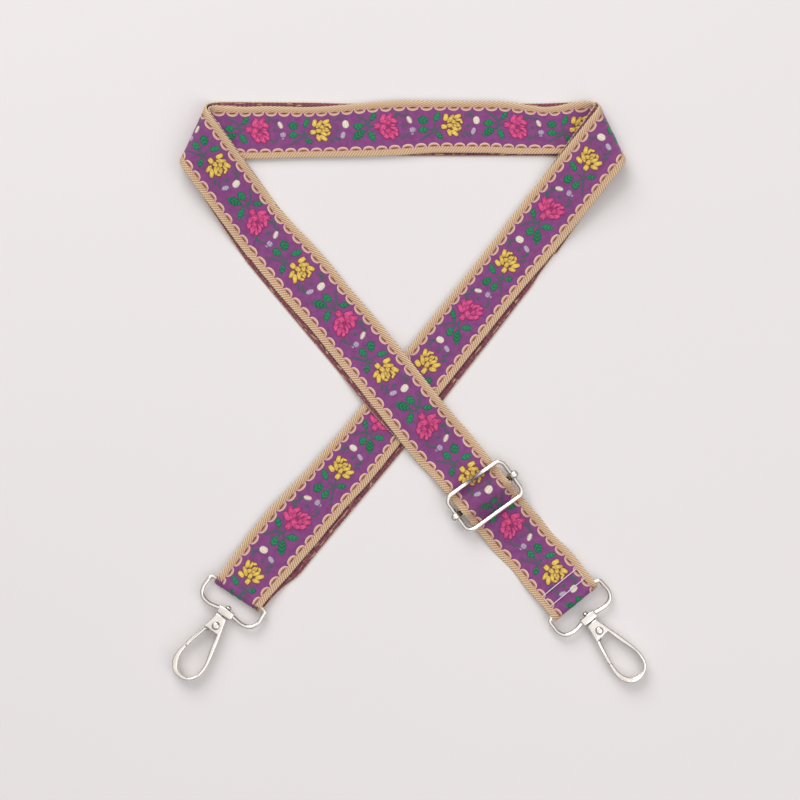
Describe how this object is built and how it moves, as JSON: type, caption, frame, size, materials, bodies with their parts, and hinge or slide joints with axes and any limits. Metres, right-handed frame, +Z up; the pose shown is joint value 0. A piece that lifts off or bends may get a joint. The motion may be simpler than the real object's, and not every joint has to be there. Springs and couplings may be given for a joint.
{
  "type": "detachable bag strap",
  "caption": "Adjustable woven shoulder strap for a bag, doubled through a metal slider, with a swivelling hook clasp at each end.",
  "frame": {"origin": "on the table under the middle of the laid strap's outline", "axes": "+Z up from the table; +Y from the clasps towards the top run, the long way of the laid strap; +X towards the slider's side"},
  "size_m": [0.2127, 0.2624, 0.0116],
  "materials": {
    "webbing": "woven jacquard ribbon with a floral pattern and roped borders",
    "thread": "sewing thread",
    "nickel": "polished nickel plating",
    "spring": "drawn wire"
  },
  "bodies": {
    "strap": {"webbing": "webbing", "clasp_end_stitches": "thread"},
    "slider_bar": {"slider_bar": "nickel", "slider_end_stitches": "thread"},
    "slider_frame": {"slider_frame": "nickel"},
    "left_loop": {"left_loop": "nickel"},
    "left_hook": {"left_hook": "nickel", "left_swivel_post": "nickel", "left_gate_rivet": "nickel", "left_gate_spring": "spring"},
    "left_gate": {"left_gate": "nickel"},
    "right_loop": {"right_loop": "nickel"},
    "right_hook": {"right_hook": "nickel", "right_swivel_post": "nickel", "right_gate_rivet": "nickel", "right_gate_spring": "spring"},
    "right_gate": {"right_gate": "nickel"}
  },
  "joints": [
    {"name": "slider_adjust", "type": "slide", "parent": "strap", "child": "slider_bar", "axis": [0.6401, -0.7683, 0], "range_m": [-0.004, 0.012], "deforming": ["webbing"]},
    {"name": "slider_frame_shift", "type": "slide", "parent": "slider_bar", "child": "slider_frame", "axis": [-0.5864, 0.81, 0], "range_m": [-0.002, 0.002], "deforming": ["webbing"]},
    {"name": "left_loop_turn", "type": "hinge", "parent": "strap", "child": "left_loop", "pos_m": [-0.07667, -0.09043, 0.00366], "axis": [0.8348, -0.5505, 0], "range_deg": [-150, 150]},
    {"name": "left_swivel", "type": "hinge", "parent": "left_loop", "child": "left_hook", "pos_m": [-0.08228, -0.09895, 0.00366], "axis": [0.5864, 0.81, 0], "continuous": true},
    {"name": "left_gate_open", "type": "hinge", "parent": "left_hook", "child": "left_gate", "pos_m": [-0.08677, -0.10514, 0.00366], "axis": [0, 0, 1], "range_deg": [0, 30], "stiffness_Nm_per_rad": 0.02, "springref_deg": -28.65, "deforming": ["left_gate_spring"]},
    {"name": "right_loop_turn", "type": "hinge", "parent": "strap", "child": "right_loop", "pos_m": [0.07362, -0.09357, 0.00366], "axis": [0.7738, 0.6334, 0], "range_deg": [-150, 150]},
    {"name": "right_swivel", "type": "hinge", "parent": "right_loop", "child": "right_hook", "pos_m": [0.08008, -0.10146, 0.00366], "axis": [-0.6468, 0.7627, 0], "continuous": true},
    {"name": "right_gate_open", "type": "hinge", "parent": "right_hook", "child": "right_gate", "pos_m": [0.08502, -0.10729, 0.00366], "axis": [0, 0, 1], "range_deg": [0, 30], "stiffness_Nm_per_rad": 0.02, "springref_deg": -28.65, "deforming": ["right_gate_spring"]}
  ]
}
